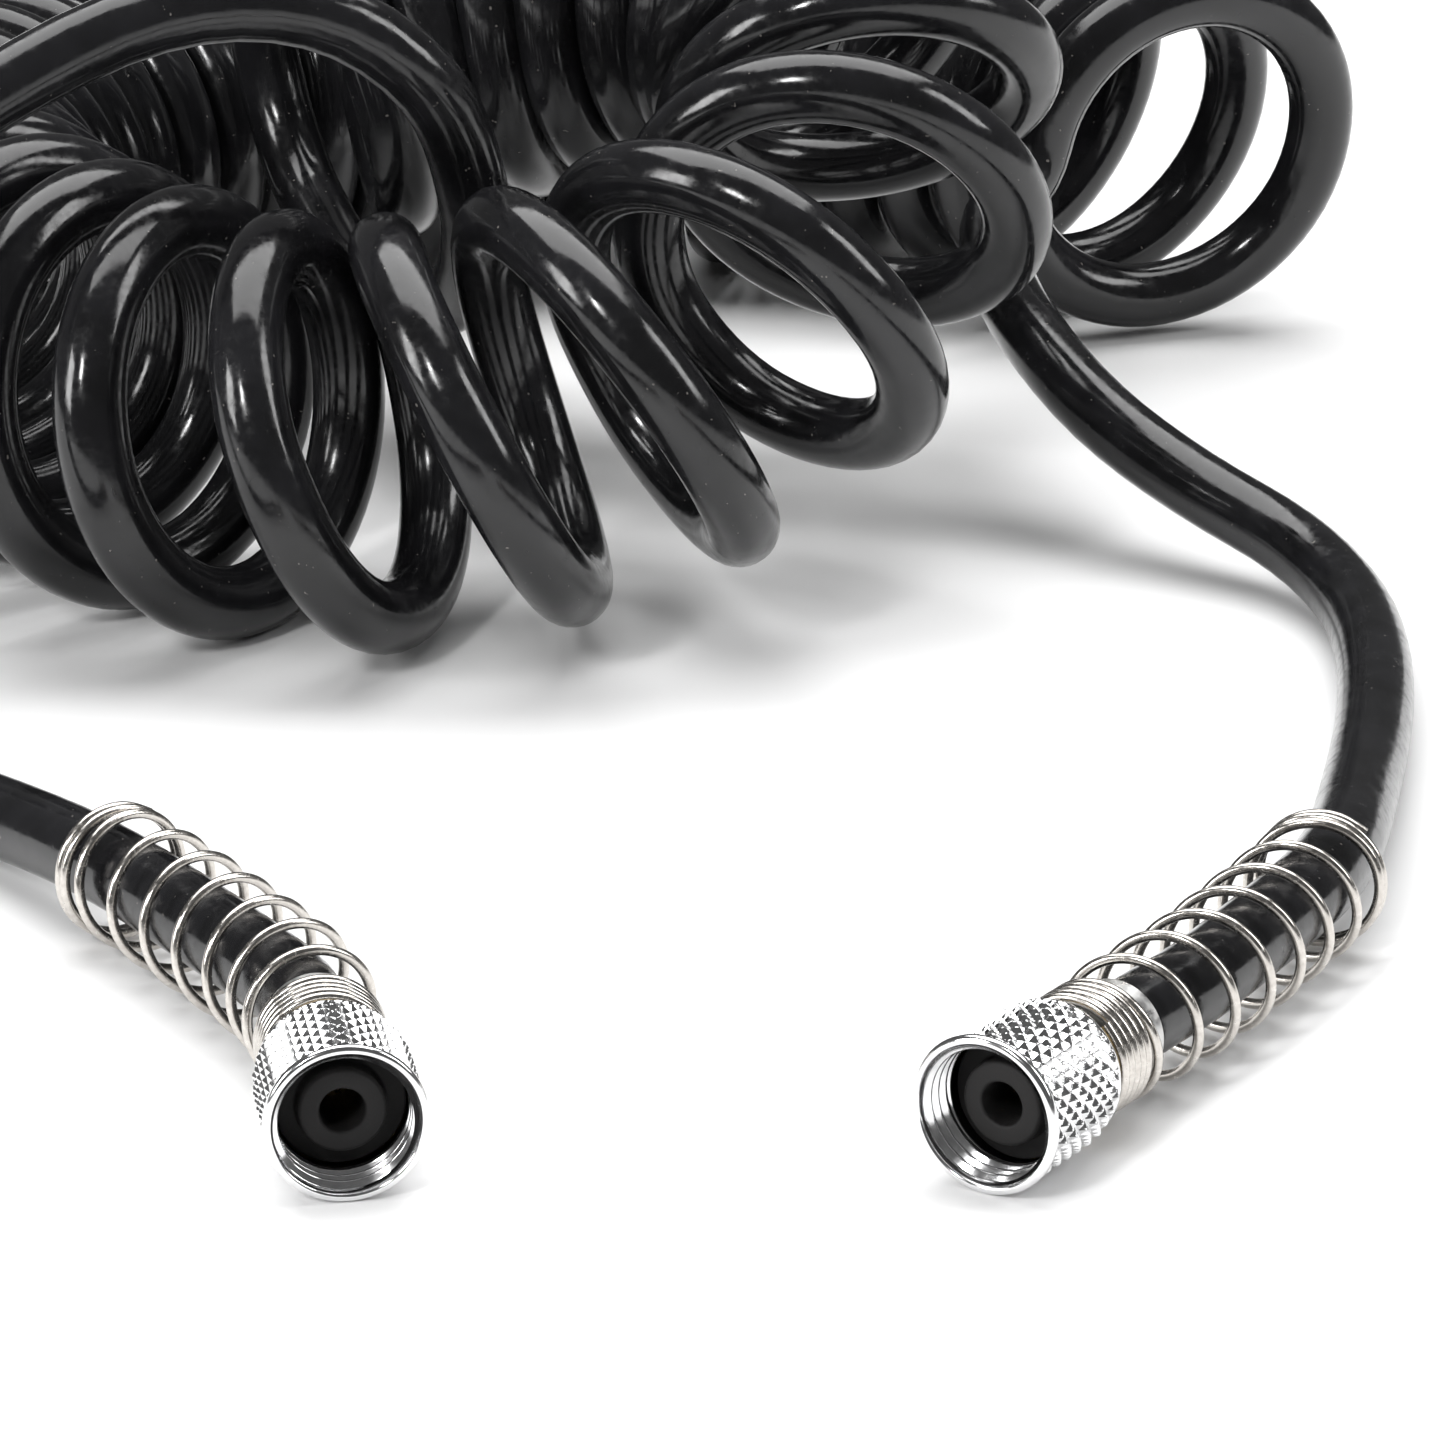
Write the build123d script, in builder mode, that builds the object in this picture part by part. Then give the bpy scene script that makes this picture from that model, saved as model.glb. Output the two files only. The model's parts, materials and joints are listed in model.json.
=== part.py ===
"""A coiled (recoil) air hose with a swivel nut and a spring bend guard on each end.

Millimetres, +Z up. The origin is on the floor, midway between the two end fittings.
"""
from build123d import *
import math
import os

# ---------------------------------------------------------------- hose
HOSE_R = 3.0            # 6 x 4 mm polyurethane hose
HOSE_BORE_R = 2.0
COIL_R = 18.4           # outside radius of the wound coil
COIL_BORE_R = 12.4      # inside radius of its turns
EXIT_RUN = 9.0          # straight run of a loose end as it leaves the coil
BEND_SHARE = 0.45       # each bend takes up to this share of its shorter run

# ---------------------------------------------------------------- swivel nut, G1/8 female
NUT_LEN = 10.0
NUT_RIM_R = 5.5         # smooth rim at the mouth
NUT_BODY_R = 5.35       # knurled body
NUT_BACK_R = 4.6        # end of the tapered back
NUT_RIM_LEN = 1.2
NUT_TAPER_START = 7.7
MOUTH_CHAMFER = 0.5
THREAD_R = 4.4          # core of the thread
THREAD_END = 2.4        # where the thread runs out into its undercut
UNDERCUT_R = 4.65
SHOULDER = 6.6          # the step inside that pulls on the stem's flange
SWIVEL_GAP = 0.05       # radial running clearance on the shank

# ---------------------------------------------------------------- stem, seal and ferrule
SHANK_R = 3.2
FLANGE_R = 4.2
FLANGE_FRONT = 4.9
FLANGE_BACK = 6.5
STEM_BORE_R = 1.1
STEM_END = 18.0
BARB_PEAK_R = 2.28
BARB_ROOT_R = 1.9
BARB_COUNT = 3
SEAL_FRONT = 2.4
SEAL_STEP = 3.9
SEAL_R = 4.36           # the seal's rim laps over the stem's flange
SEAL_LAP_END = 5.3
SEAL_NOSE_R = 2.95
SEAL_HOLE_R = 1.5
SEAL_SLEEVE_R = 2.0     # the seal's hole is lined down into a counterbore of the stem
SEAL_SLEEVE_END = 8.5
HOSE_END = 10.6         # the hose butts against the end of the shank here
SWOLLEN_R = 3.3         # hose stretched over the barbs
SWOLLEN_BORE_R = 2.3
SWOLLEN_END = 18.7      # back to the hose's own size
FERRULE_R = 3.62
FERRULE_END = 17.4
STRAIGHT_END = 21.0     # first corner of the hose's path, beyond the stem

# ---------------------------------------------------------------- spring bend guard
WIRE_R = 0.36
TIGHT_TURNS = 6
TIGHT_PITCH = 0.75
OPEN_TURNS = 7
OPEN_PITCH = 4.93
END_TURNS = 2
TIGHT_COIL_R = 4.3      # mean radius where the guard grips the ferrule
OPEN_COIL_R = 4.65
POINTS_PER_TURN = 12

# ---------------------------------------------------------------- where the ends lie
NUT_HEIGHT = 5.5
MOUTH_A = (-24.1, -23.9, NUT_HEIGHT)
HEADING_A = 100.0       # degrees from +X, from the mouth into the fitting
MOUTH_B = (17.0, -22.5, NUT_HEIGHT)
HEADING_B = 56.5

# the hose from behind each fitting to the wound coil
ROUTE_A = [(-31.8, 4.2, 5.4), (-37.0, 12.6, 5.4), (-44.4, 24.0, 5.4), (-54.5, 38.5, 3.6),
           (-66.0, 49.0, 3.2), (-76.0, 57.5, 7.0), (-80.5, 66.0, 17.0), (-77.5, 74.0, 29.0),
           (-69.0, 81.5, 38.5), (-58.0, 88.5, 45.5), (-45.0, 94.5, 51.0), (-32.5, 98.0, 50.5),
           (-23.0, 100.5, 43.5), (-20.0, 104.5, 33.0), (-22.0, 111.0, 24.0),
           (-29.5, 118.0, 18.5), (-38.5, 124.5, 15.0), (-45.5, 133.0, 13.5)]
ROUTE_B = [(32.3, 0.2, 5.4), (36.6, 8.0, 5.4), (44.3, 22.4, 5.4), (47.8, 42.0, 3.6),
           (50.5, 58.0, 3.0), (52.0, 72.0, 3.2), (52.0, 87.0, 3.0), (48.0, 98.5, 4.5),
           (40.0, 106.0, 7.0), (32.0, 115.5, 10.5), (26.5, 128.0, 14.5), (26.0, 142.0, 17.0)]

# the middle line of the wound coil, from the end by fitting B to the end by fitting A
COIL_ROUTE = [(43.5, 165.0, 18.4), (36.5, 187.0, 18.4), (10.0, 203.0, 18.4),
              (-26.0, 200.0, 18.4), (-60.0, 178.0, 18.4), (-75.0, 144.0, 18.4),
              (-60.0, 108.0, 18.4), (-36.0, 86.0, 18.4), (-12.0, 86.0, 20.0),
              (4.0, 99.0, 26.0), (12.5, 118.0, 34.5), (8.0, 136.0, 42.0),
              (-8.0, 148.5, 42.0), (-27.0, 150.5, 37.0), (-38.0, 146.5, 32.5)]


def fitting_plane(mouth, heading):
    """The level plane through a fitting's axis: local x runs inwards from the mouth."""
    angle = math.radians(heading)
    return Plane(origin=mouth, x_dir=(math.cos(angle), math.sin(angle), 0), z_dir=(0, 0, 1))


def turned(plane, outline):
    """A piece turned on the fitting's axis from (distance from mouth, radius) points."""
    with BuildPart() as piece:
        with BuildSketch(plane):
            with BuildLine():
                Polyline(*outline, close=True)
            make_face()
        revolve(axis=Axis(plane.origin, plane.x_dir))
    return piece


def swivel_nut(plane):
    """The nut: mouth chamfer, thread core, undercut, shoulder and the hole for the shank."""
    hole_r = SHANK_R + SWIVEL_GAP
    return turned(plane, [
        (0, THREAD_R + MOUTH_CHAMFER), (0.2, NUT_RIM_R - 0.1), (0.4, NUT_RIM_R),
        (NUT_RIM_LEN, NUT_RIM_R), (NUT_RIM_LEN + 0.2, NUT_BODY_R),
        (NUT_TAPER_START, NUT_BODY_R), (NUT_LEN - 1.0, NUT_BACK_R + 0.35),
        (NUT_LEN, NUT_BACK_R), (NUT_LEN, hole_r), (SHOULDER, hole_r),
        (SHOULDER, UNDERCUT_R), (THREAD_END + 0.3, UNDERCUT_R), (THREAD_END, THREAD_R),
        (MOUTH_CHAMFER, THREAD_R)])


def barb_stem(plane):
    """The stem: a flange that the nut pulls on, a shank it turns on, and the barbed tail."""
    barb_len = (STEM_END - HOSE_END - 0.4) / BARB_COUNT
    barbs = []
    for i in range(BARB_COUNT):
        start = HOSE_END + 0.4 + i * barb_len
        barbs += [(start, BARB_ROOT_R), (start + 0.1, BARB_PEAK_R),
                  (start + barb_len - 0.1, BARB_ROOT_R)]
    return turned(plane, [
        (SEAL_SLEEVE_END, STEM_BORE_R), (SEAL_SLEEVE_END, SEAL_SLEEVE_R),
        (FLANGE_FRONT, SEAL_SLEEVE_R), (FLANGE_FRONT, FLANGE_R), (FLANGE_BACK, FLANGE_R),
        (FLANGE_BACK, SHANK_R), (HOSE_END, SHANK_R), (HOSE_END, BARB_ROOT_R),
        *barbs, (STEM_END, BARB_ROOT_R - 0.2), (STEM_END, STEM_BORE_R)])


def seal_washer(plane):
    """The rubber seal: a raised nose, a rim lapped over the flange, a sleeve in the stem."""
    return turned(plane, [
        (SEAL_FRONT, SEAL_HOLE_R), (SEAL_FRONT, SEAL_NOSE_R - 0.3),
        (SEAL_FRONT + 0.3, SEAL_NOSE_R), (SEAL_STEP, SEAL_NOSE_R),
        (SEAL_STEP, SEAL_R), (SEAL_LAP_END, SEAL_R), (SEAL_LAP_END, FLANGE_R),
        (FLANGE_FRONT, FLANGE_R), (FLANGE_FRONT, SEAL_SLEEVE_R),
        (SEAL_SLEEVE_END, SEAL_SLEEVE_R), (SEAL_SLEEVE_END, SEAL_HOLE_R)])


def ferrule(plane):
    """The thin crimped sleeve that holds the hose on the barbs."""
    return turned(plane, [
        (HOSE_END, SWOLLEN_R), (HOSE_END, FERRULE_R),
        (FERRULE_END, FERRULE_R), (FERRULE_END, SWOLLEN_R)])


def bend_radii(points):
    """The largest tangent arc that each corner's two runs allow."""
    radii = []
    for before, corner, after in zip(points, points[1:], points[2:]):
        inwards = Vector(corner) - Vector(before)
        outwards = Vector(after) - Vector(corner)
        half_turn = math.radians(inwards.get_angle(outwards)) / 2
        shorter = min(inwards.length, outwards.length)
        radii.append(BEND_SHARE * shorter / math.tan(half_turn))
    return radii


def rounded_path(points):
    """Straight runs joined by tangent arcs."""
    with BuildLine() as path:
        FilletPolyline(*points, radius=bend_radii(points))
    return path.wires()[0]


def start_plane(path):
    """The plane square to a path at its start."""
    return Plane(origin=path @ 0, z_dir=path % 0)


def hose_route(plane, route, coil_end):
    """Corner points of a loose hose end, from the fitting to the face of the coil."""
    hose_end = plane.from_local_coords((HOSE_END, 0, 0))
    straight_end = plane.from_local_coords((STRAIGHT_END, 0, 0))
    return [hose_end, straight_end, *route, *coil_end]


def hose_tail(plane, path):
    """A loose end of the hose, with its end stretched over the barbs."""
    axis = Axis(plane.origin, plane.x_dir)
    with BuildPart() as tail:
        with BuildSketch(start_plane(path)):
            Circle(HOSE_R)
            Circle(HOSE_BORE_R, mode=Mode.SUBTRACT)
        sweep(path=path)
        with BuildSketch(plane):
            with BuildLine():
                Polyline((HOSE_END, HOSE_R - 0.5), (HOSE_END, SWOLLEN_R),
                         (FERRULE_END, SWOLLEN_R), (SWOLLEN_END, HOSE_R - 0.1),
                         (SWOLLEN_END, HOSE_R - 0.5), close=True)
            make_face()
        revolve(axis=axis)
        with BuildSketch(plane):
            with BuildLine():
                Polyline((HOSE_END, 0), (HOSE_END, SWOLLEN_BORE_R),
                         (STEM_END, SWOLLEN_BORE_R), (SWOLLEN_END, HOSE_BORE_R - 0.1),
                         (SWOLLEN_END, 0), close=True)
            make_face()
        revolve(axis=axis, mode=Mode.SUBTRACT)
    return tail


def bend_guard(path):
    """One wire: tight turns on the ferrule, open turns round the hose, two closed turns."""
    turns = TIGHT_TURNS + OPEN_TURNS + END_TURNS
    position = WIRE_R + 0.05
    points = []
    for step in range(turns * POINTS_PER_TURN + 1):
        turn = step / POINTS_PER_TURN
        is_open = TIGHT_TURNS <= turn < TIGHT_TURNS + OPEN_TURNS
        opened = min(max(turn - TIGHT_TURNS, 0), 1)
        radius = TIGHT_COIL_R + (OPEN_COIL_R - TIGHT_COIL_R) * opened
        share = position / path.length
        tangent = path % share
        across = Vector(0, 0, 1).cross(tangent).normalized()
        up = tangent.cross(across)
        angle = math.tau * turn
        points.append(path @ share + across * (radius * math.cos(angle))
                      + up * (radius * math.sin(angle)))
        position += (OPEN_PITCH if is_open else TIGHT_PITCH) / POINTS_PER_TURN
    wire = rounded_path(points)
    with BuildPart() as guard:
        with BuildSketch(start_plane(wire)):
            Circle(WIRE_R)
        sweep(path=wire)
    return guard


def coil_body(path):
    """The wound hose as one fat tube: the space its turns take up."""
    with BuildPart() as coil:
        with BuildSketch(start_plane(path)):
            Circle(COIL_R)
            Circle(COIL_BORE_R, mode=Mode.SUBTRACT)
        sweep(path=path)
    return coil


def coil_exit(path, share, across, up):
    """Where a loose end meets an end face of the coil, after a short run square to it."""
    tangent = path % share
    side = Vector(0, 0, 1).cross(tangent).normalized()
    face_point = path @ share + side * across + tangent.cross(side) * up
    outwards = tangent if share else -tangent
    return [face_point + outwards * EXIT_RUN, face_point]


def save(piece, label):
    piece.part.label = label
    export_step(piece.part, f"parts/{label}.step")
    print(label, "volume", round(piece.part.volume, 2))


def save_fitting(side, plane, route, coil_end):
    """The six pieces of one end of the hose."""
    points = hose_route(plane, route, coil_end)
    path = rounded_path(points)
    tail = hose_tail(plane, path)
    section = math.pi * (HOSE_R**2 - HOSE_BORE_R**2)
    print("tail", side, "length", round(path.length, 1), "section x length",
          round(section * path.length, 1), "radii", [round(r) for r in bend_radii(points)])
    save(swivel_nut(plane), f"swivel_nut_{side}")
    save(barb_stem(plane), f"barb_stem_{side}")
    save(seal_washer(plane), f"seal_washer_{side}")
    save(ferrule(plane), f"ferrule_{side}")
    save(bend_guard(path), f"bend_guard_{side}")
    save(tail, f"hose_tail_{side}")


os.makedirs("parts", exist_ok=True)
coil_path = rounded_path(COIL_ROUTE)
print("coil length", round(coil_path.length, 1), "radii",
      [round(r) for r in bend_radii(COIL_ROUTE)])
wall_r = (COIL_R + COIL_BORE_R) / 2
save(coil_body(coil_path), "hose_coil")
save_fitting("a", fitting_plane(MOUTH_A, HEADING_A), ROUTE_A,
             coil_exit(coil_path, 1, 0, -wall_r))
save_fitting("b", fitting_plane(MOUTH_B, HEADING_B), ROUTE_B,
             coil_exit(coil_path, 0, wall_r, 0))
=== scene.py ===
"""A coiled air hose with a knurled swivel nut and a spring bend guard on each end.

Metres, +Z up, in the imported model's frame. Routes are in millimetres, as the design gives them.
"""
import json
import math

import bmesh
import bpy
from mathutils import Matrix, Vector


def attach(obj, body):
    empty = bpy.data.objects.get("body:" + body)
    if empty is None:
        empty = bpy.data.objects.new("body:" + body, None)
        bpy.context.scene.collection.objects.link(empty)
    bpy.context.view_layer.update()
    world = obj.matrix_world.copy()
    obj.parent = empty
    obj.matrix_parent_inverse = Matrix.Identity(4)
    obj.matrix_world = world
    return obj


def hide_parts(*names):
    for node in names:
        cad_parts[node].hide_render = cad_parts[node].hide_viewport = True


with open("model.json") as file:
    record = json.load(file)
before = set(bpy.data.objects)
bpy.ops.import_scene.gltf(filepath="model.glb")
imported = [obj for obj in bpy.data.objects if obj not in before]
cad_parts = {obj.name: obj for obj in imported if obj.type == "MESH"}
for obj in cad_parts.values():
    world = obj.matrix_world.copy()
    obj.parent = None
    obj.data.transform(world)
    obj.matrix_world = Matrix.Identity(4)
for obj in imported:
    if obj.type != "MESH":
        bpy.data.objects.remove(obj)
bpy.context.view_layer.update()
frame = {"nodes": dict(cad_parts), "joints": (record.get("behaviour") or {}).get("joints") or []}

MM = 0.001
UP = Vector((0, 0, 1))

# ---------------------------------------------------------------- sizes, in millimetres
HOSE_R = 3.0
HOSE_END = 10.6             # the hose butts on the stem's shank, this far from the nut's mouth
STRAIGHT_END = 21.0         # first corner of a loose end's route
COIL_R = 14.75              # middle of the hose to the middle line of the coil
POINTS_PER_TURN = 16
ROUTE_DETAIL = 32           # points read per span of the coil's middle line

# a loose end's corners, from behind its fitting to the coil
ROUTE_A = [(-31.8, 4.2, 5.4), (-37.0, 12.6, 5.4), (-44.4, 24.0, 5.4), (-54.5, 38.5, 3.6),
           (-66.0, 49.0, 3.2), (-76.0, 57.5, 7.0), (-80.5, 66.0, 17.0), (-77.5, 74.0, 29.0),
           (-69.0, 81.5, 38.5), (-58.0, 88.5, 45.5), (-45.0, 94.5, 51.0), (-32.5, 98.0, 50.5),
           (-23.0, 100.5, 43.5), (-20.0, 104.5, 33.0), (-20.5, 111.0, 23.5),
           (-24.5, 121.0, 18.0), (-31.5, 133.0, 16.5)]
ROUTE_B = [(32.3, 0.2, 5.4), (36.6, 8.0, 5.4), (44.3, 22.4, 5.4), (47.8, 42.0, 3.6),
           (50.5, 58.0, 3.0), (52.0, 72.0, 3.2), (52.0, 87.0, 3.0), (48.0, 98.5, 4.5),
           (40.0, 106.0, 7.0), (32.0, 115.5, 10.5), (26.5, 128.0, 14.5), (24.5, 142.0, 16.0),
           (24.5, 154.0, 17.0)]

# the coil's middle line: x, y, z and the number of turns so far, counted from the front.
# The six rows from turn -1.9 to 8.3, COIL_R, COIL_PHASE and COIL_LEAN were not chosen by hand:
# they are rounded results of a least-squares fit.
COIL_ROUTE = [(44.0, 165.0, 19.2, -24.14), (39.0, 182.0, 19.0, -22.7), (17.0, 200.0, 18.6, -20.2),
              (-22.0, 201.0, 18.4, -15.4), (-55.0, 184.0, 18.4, -10.8),
              (-74.0, 150.0, 18.4, -6.0), (-63.4, 111.9, 20.6, -1.9), (-43.8, 90.7, 17.8, 1.3),
              (-23.6, 83.0, 17.8, 3.0), (1.8, 90.3, 24.6, 5.2), (13.0, 115.8, 31.0, 6.5),
              (10.3, 134.6, 43.2, 8.3), (-8.0, 148.0, 41.0, 10.6), (-27.0, 150.5, 37.0, 12.9),
              (-38.0, 146.5, 32.5, 14.56)]
COIL_PHASE = -0.67          # radians from the top of a turn
COIL_LEAN = (-2.0, 0.45)    # how far along the line the top and the side of a turn lie


# ---------------------------------------------------------------- lines and curves
def make_curve(name, points, radius, order=3, resolution=4, sides=8):
    """A curve object of one open NURBS spline through the control points, in metres."""
    data = bpy.data.curves.new(name, "CURVE")
    data.dimensions = "3D"
    data.resolution_u = resolution
    data.bevel_depth = radius
    data.bevel_resolution = sides
    data.use_fill_caps = True
    spline = data.splines.new("NURBS")
    spline.points.add(len(points) - 1)
    for control, point in zip(spline.points, points):
        control.co = (*point, 1)
    spline.order_u = order
    spline.use_endpoint_u = True
    spline.use_smooth = True
    obj = bpy.data.objects.new(name, data)
    bpy.context.scene.collection.objects.link(obj)
    return obj


def read_line(points, resolution):
    """The points that the NURBS spline with those control points passes through."""
    guide = make_curve("guide", points, 0, resolution=resolution)
    bpy.context.view_layer.update()
    mesh = bpy.data.meshes.new_from_object(guide)
    line = [v.co.copy() for v in mesh.vertices]
    bpy.data.meshes.remove(mesh)
    data = guide.data
    bpy.data.objects.remove(guide)
    bpy.data.curves.remove(data)
    return line


def line_frame(line, i):
    """The direction of a line at its point i, and the level and upward directions square to it."""
    ahead = line[min(i + 1, len(line) - 1)]
    behind = line[max(i - 1, 0)]
    tangent = (ahead - behind).normalized()
    across = tangent.cross(UP).normalized()
    return tangent, across, across.cross(tangent)


def winding(line, counts, start, end, per_turn, radius_at, phase=0.0, lean=(0.0, 0.0)):
    """Points of a right-handed winding round a line, from one turn count to another.

    counts gives the turn count at each point of the line, rising along it. lean tips each
    turn: how far along the line its top and its side lie from its middle.
    """
    points = []
    i = 0
    steps = round(abs(end - start) * per_turn)
    for step in range(steps + 1):
        turn = start + (end - start) * step / steps
        while i < len(line) - 2 and counts[i + 1] < turn:
            i += 1
        while i > 0 and counts[i] > turn:
            i -= 1
        share = (turn - counts[i]) / (counts[i + 1] - counts[i])
        tangent, across, up = line_frame(line, i)
        angle = math.tau * turn + phase
        radius = radius_at(turn)
        high, wide = math.cos(angle), math.sin(angle)
        points.append(line[i].lerp(line[i + 1], share)
                      + up * (radius * high) + across * (radius * wide)
                      + tangent * (lean[0] * high + lean[1] * wide))
    return points


# ---------------------------------------------------------------- node materials
def new_material(name, **settings):
    """A material, its node tree and its Principled shader with the given socket values."""
    material = bpy.data.materials.new(name)
    material.use_nodes = True
    tree = material.node_tree
    shader = tree.nodes["Principled BSDF"]
    for socket, value in settings.items():
        shader.inputs[socket.replace("_", " ")].default_value = value
    return material, tree, shader


def add_noise(tree, scale, detail=4.0, roughness=0.5, stretch=(1, 1, 1)):
    """Noise fixed to the object, with scale in features per metre; returns its Fac socket."""
    place = tree.nodes.new("ShaderNodeTexCoord")
    mapping = tree.nodes.new("ShaderNodeMapping")
    mapping.inputs["Scale"].default_value = stretch
    noise = tree.nodes.new("ShaderNodeTexNoise")
    noise.inputs["Scale"].default_value = scale
    noise.inputs["Detail"].default_value = detail
    noise.inputs["Roughness"].default_value = roughness
    tree.links.new(place.outputs["Object"], mapping.inputs["Vector"])
    tree.links.new(mapping.outputs["Vector"], noise.inputs["Vector"])
    return noise.outputs["Fac"]


def add_range(tree, source, low, high, to_low, to_high):
    """Maps a value from one range to another, held at the ends."""
    node = tree.nodes.new("ShaderNodeMapRange")
    for socket, value in zip(("From Min", "From Max", "To Min", "To Max"),
                             (low, high, to_low, to_high)):
        node.inputs[socket].default_value = value
    tree.links.new(source, node.inputs["Value"])
    return node.outputs["Result"]


def add_bump(tree, shader, height, strength, distance, below=None):
    """A bump on the shader's normal; below is an earlier bump that it lies on."""
    bump = tree.nodes.new("ShaderNodeBump")
    bump.inputs["Strength"].default_value = strength
    bump.inputs["Distance"].default_value = distance
    tree.links.new(height, bump.inputs["Height"])
    if below:
        tree.links.new(below, bump.inputs["Normal"])
    tree.links.new(bump.outputs["Normal"], shader.inputs["Normal"])
    return bump.outputs["Normal"]


def add_colours(tree, source, dark, light, socket):
    """Blends two colours by a value and feeds a colour socket."""
    ramp = tree.nodes.new("ShaderNodeValToRGB")
    ramp.color_ramp.elements[0].color = (*dark, 1)
    ramp.color_ramp.elements[1].color = (*light, 1)
    ramp.color_ramp.elements[0].position = 0.35
    ramp.color_ramp.elements[1].position = 0.7
    tree.links.new(source, ramp.inputs["Fac"])
    tree.links.new(ramp.outputs["Color"], socket)


def hose_material():
    """Glossy black polyurethane: slightly uneven from extrusion, with scuffs and fine dust."""
    material, tree, shader = new_material("black_polyurethane", IOR=1.5)
    cloud = add_noise(tree, 160, 3)
    dust = tree.nodes.new("ShaderNodeMix")
    dust.data_type = "RGBA"
    amount, clean, dusty = (socket for socket in dust.inputs if socket.enabled)
    dusty.default_value = (0.16, 0.15, 0.14, 1)
    specks = add_noise(tree, 2200, 1)
    tree.links.new(add_range(tree, specks, 0.76, 0.80, 0.0, 1.0), amount)
    add_colours(tree, cloud, (0.006, 0.006, 0.0065), (0.013, 0.013, 0.0145), clean)
    result = next(socket for socket in dust.outputs if socket.enabled)
    tree.links.new(result, shader.inputs["Base Color"])
    scuffs = add_noise(tree, 900, 6, 0.7)
    tree.links.new(add_range(tree, scuffs, 0.42, 0.72, 0.10, 0.30), shader.inputs["Roughness"])
    waves = add_bump(tree, shader, add_noise(tree, 120, 2), 0.25, 0.0004)
    add_bump(tree, shader, scuffs, 0.10, 0.00008, below=waves)
    return material


def chrome_material():
    """Bright chrome plating over turned brass."""
    material, tree, shader = new_material("bright_chrome", Metallic=1.0)
    haze = add_noise(tree, 1500, 4)
    add_colours(tree, haze, (0.80, 0.80, 0.81), (0.90, 0.90, 0.90), shader.inputs["Base Color"])
    tree.links.new(add_range(tree, haze, 0.3, 0.7, 0.10, 0.18), shader.inputs["Roughness"])
    add_bump(tree, shader, haze, 0.02, 0.00002)
    return material


def wire_material():
    """Bright drawn spring wire, a little warmer than chrome."""
    material, tree, shader = new_material("spring_wire", Metallic=1.0)
    marks = add_noise(tree, 2500, 5, 0.6)
    add_colours(tree, marks, (0.52, 0.49, 0.455), (0.70, 0.67, 0.63), shader.inputs["Base Color"])
    tree.links.new(add_range(tree, marks, 0.3, 0.7, 0.14, 0.30), shader.inputs["Roughness"])
    add_bump(tree, shader, marks, 0.12, 0.00003)
    return material


def rubber_material():
    """Matt black moulded rubber."""
    material, tree, shader = new_material("seal_rubber", Specular_IOR_Level=0.3)
    grain = add_noise(tree, 5000, 4)
    add_colours(tree, grain, (0.007, 0.0065, 0.0065), (0.016, 0.015, 0.015),
                shader.inputs["Base Color"])
    tree.links.new(add_range(tree, grain, 0.3, 0.7, 0.5, 0.75), shader.inputs["Roughness"])
    add_bump(tree, shader, grain, 0.3, 0.00004)
    return material


def brass_material():
    """Turned brass."""
    material, tree, shader = new_material("turned_brass", Metallic=1.0)
    marks = add_noise(tree, 1800, 4)
    add_colours(tree, marks, (0.60, 0.45, 0.20), (0.78, 0.62, 0.33), shader.inputs["Base Color"])
    tree.links.new(add_range(tree, marks, 0.3, 0.7, 0.2, 0.4), shader.inputs["Roughness"])
    return material


def ferrule_material():
    """Plain thin-walled metal sleeve."""
    material, tree, shader = new_material("plain_sleeve", Metallic=1.0)
    marks = add_noise(tree, 1500, 4)
    add_colours(tree, marks, (0.55, 0.55, 0.55), (0.70, 0.70, 0.69), shader.inputs["Base Color"])
    tree.links.new(add_range(tree, marks, 0.3, 0.7, 0.25, 0.45), shader.inputs["Roughness"])
    return material


# ---------------------------------------------------------------- the hose
def coil_radius(turn):
    """Turns differ a little in size, as loose turns do, and the outer end opens out."""
    wobble = 0.2 * math.sin(1.7 * turn + 0.6) + 0.15 * math.sin(0.61 * turn)
    loose = 0.7 * max(0.0, 2.0 - (turn - COIL_ROUTE[0][3]))
    return (COIL_R + wobble + loose) * MM / math.cos(math.pi / POINTS_PER_TURN)


def coil_turns():
    """The wound turns, from the end by fitting A to the end by fitting B."""
    line = read_line([Vector(p[:3]) * MM for p in COIL_ROUTE], ROUTE_DETAIL)
    counts = [v.x for v in read_line([(p[3], 0, 0) for p in COIL_ROUTE], ROUTE_DETAIL)]
    inner_end = COIL_ROUTE[-1][3]
    outer_end = COIL_ROUTE[0][3]
    return winding(line, counts, inner_end, outer_end, POINTS_PER_TURN, coil_radius,
                   COIL_PHASE, lean=[part * MM for part in COIL_LEAN])


class Fitting:
    """Where one end fitting lies: its mouth, its axis into the nut, and the body of its nut."""

    def __init__(self, side):
        joint = next(j for j in frame["joints"] if j["name"] == f"nut_{side}_swivel")
        self.side = side
        self.mouth = Vector(joint["pos_m"])
        self.inwards = -Vector(joint["axis"]).normalized()
        self.across = UP.cross(self.inwards).normalized()

    def point(self, distance, radius=0.0, angle=0.0):
        """A point in metres from millimetres along and out from the axis."""
        outwards = self.across * math.cos(angle) + UP * math.sin(angle)
        return self.mouth + (self.inwards * distance + outwards * radius) * MM


def hose_points(fitting_a, fitting_b):
    """Control points of the whole hose, from fitting A to fitting B."""
    return ([fitting_a.point(HOSE_END), fitting_a.point(STRAIGHT_END)]
            + [Vector(p) * MM for p in ROUTE_A]
            + coil_turns()
            + [Vector(p) * MM for p in reversed(ROUTE_B)]
            + [fitting_b.point(STRAIGHT_END), fitting_b.point(HOSE_END)])


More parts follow.
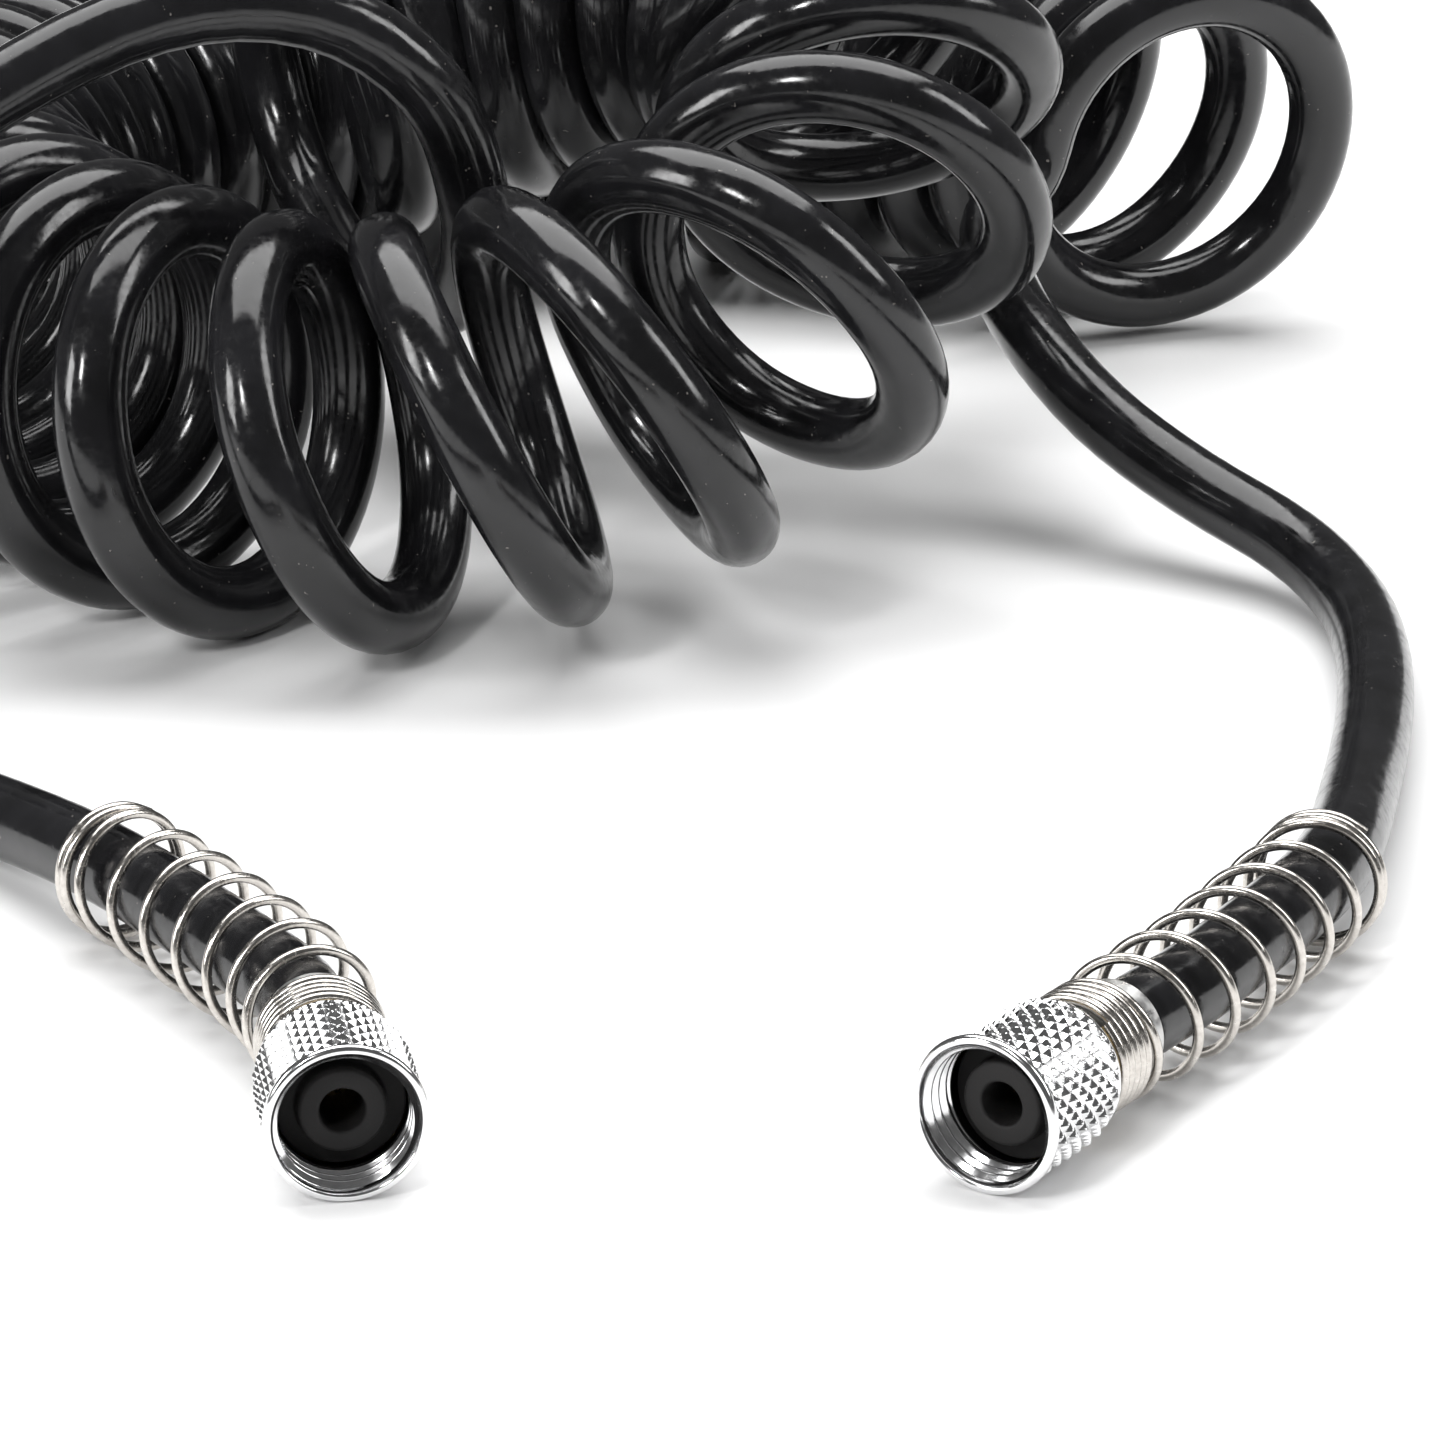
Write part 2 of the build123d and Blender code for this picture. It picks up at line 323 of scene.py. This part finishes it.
# ---------------------------------------------------------------- spring bend guards
WIRE_R = 0.38
TIGHT_TURNS = 5
TIGHT_PITCH = 0.74
OPEN_TURNS = 7
OPEN_PITCH = 4.93
END_TURNS = 2
TIGHT_COIL_R = 4.25
OPEN_COIL_R = 4.65
GUARD_PHASE = 0.7           # radians from the top, where the wire starts
GUARD_POINTS = 20           # wire points per turn
GUARD_DETAIL = 60           # points read per span of the hose under a guard
GUARD_CORNERS = 9           # control points of the hose that reach past a guard


def guard_radius(turn):
    """The guard widens over one turn as it leaves the ferrule."""
    opened = min(max(turn - TIGHT_TURNS, 0), 1)
    return (TIGHT_COIL_R + (OPEN_COIL_R - TIGHT_COIL_R) * opened) * MM


def turns_at(distance):
    """Turns of the guard's wire up to a distance along it, in millimetres."""
    tight = TIGHT_TURNS * TIGHT_PITCH
    open_end = tight + OPEN_TURNS * OPEN_PITCH
    if distance < tight:
        return distance / TIGHT_PITCH
    if distance < open_end:
        return TIGHT_TURNS + (distance - tight) / OPEN_PITCH
    return TIGHT_TURNS + OPEN_TURNS + (distance - open_end) / TIGHT_PITCH


def make_guard(fitting, hose_line, material):
    """One wire wound round the hose: tight, open, and closed again at its far end."""
    length = TIGHT_TURNS * TIGHT_PITCH + OPEN_TURNS * OPEN_PITCH + (END_TURNS + 1) * TIGHT_PITCH
    counts = []
    distance = -WIRE_R - 0.05
    for i, point in enumerate(hose_line):
        if i:
            distance += (point - hose_line[i - 1]).length / MM
        counts.append(turns_at(distance) if distance > 0 else distance / TIGHT_PITCH)
        if distance > length:
            break
    line = hose_line[:len(counts)]
    turns = TIGHT_TURNS + OPEN_TURNS + END_TURNS
    points = winding(line, counts, 0, turns, GUARD_POINTS, guard_radius, phase=GUARD_PHASE)
    guard = make_curve(f"wire_guard_{fitting.side}", points, WIRE_R * MM, sides=4)
    guard.data.materials.append(material)
    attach(guard, "hose")
    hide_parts(f"bend_guard_{fitting.side}")


# ---------------------------------------------------------------- turned pieces
KNURLS = 26                 # diamonds round the nut
KNURL_PITCH = 1.28
KNURL_DEPTH = 0.34
KNURL_START = 0.85
KNURL_STOP = 9.3
THREAD_PITCH = 0.907
THREAD_DEPTH = 0.5
THREAD_R = 4.4
THREAD_STOP = 3.3           # where the thread runs out, from the mouth
NUT_SIDES = 312
SEAL_SIDES = 96


def make_lathe(name, fitting, profile, sides, relief=None):
    """A closed turned mesh from a loop of (distance, radius, kind) profile points.

    relief gives a change of radius for a point's kind, distance and angle.
    """
    mesh = bpy.data.meshes.new(name)
    work = bmesh.new()
    rings = []
    for distance, radius, kind in profile:
        ring = []
        for j in range(sides):
            angle = math.tau * j / sides
            change = relief(kind, distance, angle) if relief else 0.0
            ring.append(work.verts.new(fitting.point(distance, radius + change, angle)))
        rings.append(ring)
    crisp = set()
    kinds = [kind for _, _, kind in profile]
    for i, kind in enumerate(kinds):
        ring, following = rings[i], rings[(i + 1) % len(rings)]
        for j in range(sides):
            k = (j + 1) % sides
            face = work.faces.new((ring[j], ring[k], following[k], following[j]))
            if kind == kinds[(i + 1) % len(kinds)] == "knurl":
                crisp.add(face)
    bmesh.ops.recalc_face_normals(work, faces=work.faces)
    for face in work.faces:
        face.smooth = face not in crisp
    work.to_mesh(mesh)
    work.free()
    obj = bpy.data.objects.new(name, mesh)
    bpy.context.scene.collection.objects.link(obj)
    return obj


def steps(start, stop, count, kind, radius_start, radius_stop):
    """Profile points along a straight flank, without its last point."""
    return [(start + (stop - start) * i / count,
             radius_start + (radius_stop - radius_start) * i / count, kind)
            for i in range(count)]


def tent(value):
    """A wave of straight slopes between 0 and 1."""
    return 1 - abs(2 * (value % 1) - 1)


def nut_relief(kind, distance, angle):
    """Diamond knurls outside and the thread's grooves inside."""
    if kind == "knurl":
        around = KNURLS * angle / math.tau
        along = distance / KNURL_PITCH
        height = min(1.2 * tent(around + along), 1.2 * tent(around - along), 1.0)
        fade = min((distance - KNURL_START) / 0.2 + 0.3, (KNURL_STOP - distance) / 0.5, 1.0)
        return KNURL_DEPTH * (height - 1) * max(fade, 0.0)
    if kind == "thread":
        groove = tent(distance / THREAD_PITCH + angle / math.tau)
        runout = min((distance - 0.1) / 0.3, (THREAD_STOP - distance) / 0.4, 1.0)
        return THREAD_DEPTH * min(max(1.25 * groove - 0.15, 0.0), 0.92) * max(runout, 0.0)
    return 0.0


def make_nut(fitting, material):
    """The knurled swivel nut, with its thread, undercut, shoulder and shank hole."""
    profile = [(0.28, 4.86, ""), (0.08, 4.93, ""), (0.0, 5.02, ""), (0.0, 5.2, ""),
               (0.05, 5.34, ""), (0.16, 5.45, ""), (0.3, 5.5, ""), (0.52, 5.5, ""),
               (0.62, 5.44, ""), (0.68, 5.25, ""), (0.8, 5.16, "")]
    profile += steps(KNURL_START, 7.6, 76, "knurl", 5.4, 5.4)
    profile += steps(7.6, KNURL_STOP, 18, "knurl", 5.4, 5.0)
    profile += [(KNURL_STOP, 4.98, ""), (9.6, 4.86, ""), (9.9, 4.62, ""), (10.0, 4.4, ""),
                (10.0, 3.45, ""), (9.9, 3.3, ""), (9.7, 3.25, ""), (6.6, 3.25, ""),
                (6.6, 4.6, ""), (6.5, 4.65, ""), (3.5, 4.65, ""), (3.35, 4.6, "")]
    profile += steps(THREAD_STOP, 0.5, 56, "thread", THREAD_R, THREAD_R)
    nut = make_lathe(f"knurled_nut_{fitting.side}", fitting, profile, NUT_SIDES, nut_relief)
    nut.data.materials.append(material)
    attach(nut, f"nut_{fitting.side}")
    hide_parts(f"swivel_nut_{fitting.side}")


def make_seal(fitting, material):
    """The seal: a rim lapped over the flange, a raised nose, and a sleeve down the stem."""
    profile = [(8.5, 1.5, ""), (2.6, 1.5, ""), (2.48, 1.55, ""), (2.41, 1.64, ""),
               (2.4, 1.75, ""), (2.4, 2.65, ""), (2.43, 2.78, ""), (2.52, 2.88, ""),
               (2.64, 2.94, ""), (2.8, 2.96, ""), (3.75, 2.98, ""), (3.86, 3.04, ""),
               (3.9, 3.15, ""), (3.9, 4.15, ""), (3.94, 4.28, ""), (4.04, 4.35, ""),
               (4.2, 4.37, ""), (5.3, 4.37, ""), (5.3, 4.2, ""), (4.9, 4.2, ""),
               (4.9, 2.0, ""), (8.5, 2.0, "")]
    seal = make_lathe(f"moulded_seal_{fitting.side}", fitting, profile, SEAL_SIDES)
    seal.data.materials.append(material)
    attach(seal, "hose")
    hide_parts(f"seal_washer_{fitting.side}")


def dress_node(name, material):
    """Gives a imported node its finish."""
    obj = frame["nodes"][name]
    obj.data.materials.clear()
    obj.data.materials.append(material)


# ---------------------------------------------------------------- camera, light and floor
CAMERA_TARGET = Vector((0.0, 68.0, 0.0)) * MM
CAMERA_DISTANCE = 0.491
CAMERA_DROP = math.radians(20)
CAMERA_LENS = 155.8


def add_camera():
    """A long lens, looking down on the fittings from in front."""
    data = bpy.data.cameras.new("camera")
    data.lens = CAMERA_LENS
    data.sensor_width = 36
    data.clip_start = 0.01
    camera = bpy.data.objects.new("camera", data)
    back = Vector((0, -math.cos(CAMERA_DROP), math.sin(CAMERA_DROP)))
    camera.location = CAMERA_TARGET + back * CAMERA_DISTANCE
    camera.rotation_euler = (math.pi / 2 - CAMERA_DROP, 0, 0)
    bpy.context.scene.collection.objects.link(camera)
    bpy.context.scene.camera = camera


def add_area(name, location, target, size, power):
    """A soft rectangular light aimed at a point."""
    data = bpy.data.lights.new(name, "AREA")
    data.shape = "RECTANGLE"
    data.size, data.size_y = size
    data.energy = power
    light = bpy.data.objects.new(name, data)
    light.location = location
    direction = Vector(target) - Vector(location)
    light.rotation_euler = direction.to_track_quat("-Z", "Y").to_euler()
    bpy.context.scene.collection.objects.link(light)


def add_studio():
    """A white sweep under a wide soft box, with three smaller boxes for crisp highlights."""
    world = bpy.data.worlds.new("studio")
    bpy.context.scene.world = world
    world.use_nodes = True
    background = world.node_tree.nodes["Background"]
    background.inputs["Color"].default_value = (1, 1, 1, 1)
    background.inputs["Strength"].default_value = 0.1
    aim = (0, 0.08, 0.02)
    add_area("top_box", (0.0, 0.4, 0.95), aim, (1.3, 0.9), 16)
    add_area("key_box", (-0.36, -0.56, 0.56), aim, (0.1, 0.15), 2.4)
    add_area("left_box", (-0.72, -0.25, 0.32), aim, (0.25, 0.35), 3.2)
    add_area("right_box", (0.75, 0.0, 0.5), aim, (0.25, 0.5), 2.8)

    bpy.ops.mesh.primitive_plane_add(size=6, location=(0, 0.5, 0))
    floor = bpy.context.object
    floor.name = "studio_floor"
    material, tree, shader = new_material("white_sweep", Roughness=0.6)
    shader.inputs["Base Color"].default_value = (0.95, 0.95, 0.95, 1)
    floor.data.materials.append(material)


# ---------------------------------------------------------------- the whole
add_camera()
add_studio()
bpy.context.scene.view_settings.view_transform = "Standard"

fitting_a = Fitting("a")
fitting_b = Fitting("b")
control_points = hose_points(fitting_a, fitting_b)
hose = make_curve("coiled_hose", control_points, HOSE_R * MM, sides=14)
hose.data.materials.append(hose_material())
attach(hose, "hose")
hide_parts("hose_tail_a", "hose_coil", "hose_tail_b")

hose_line = read_line(control_points, 8)
hose_length = sum((b - a).length for a, b in zip(hose_line, hose_line[1:]))
print("hose length", round(hose_length, 3))

wire = wire_material()
chrome = chrome_material()
rubber = rubber_material()
brass = brass_material()
sleeve = ferrule_material()
for fitting, corners in ((fitting_a, control_points[:GUARD_CORNERS]),
                         (fitting_b, control_points[::-1][:GUARD_CORNERS])):
    make_guard(fitting, read_line(corners, GUARD_DETAIL), wire)
    make_nut(fitting, chrome)
    make_seal(fitting, rubber)
    dress_node(f"barb_stem_{fitting.side}", brass)
    dress_node(f"ferrule_{fitting.side}", sleeve)
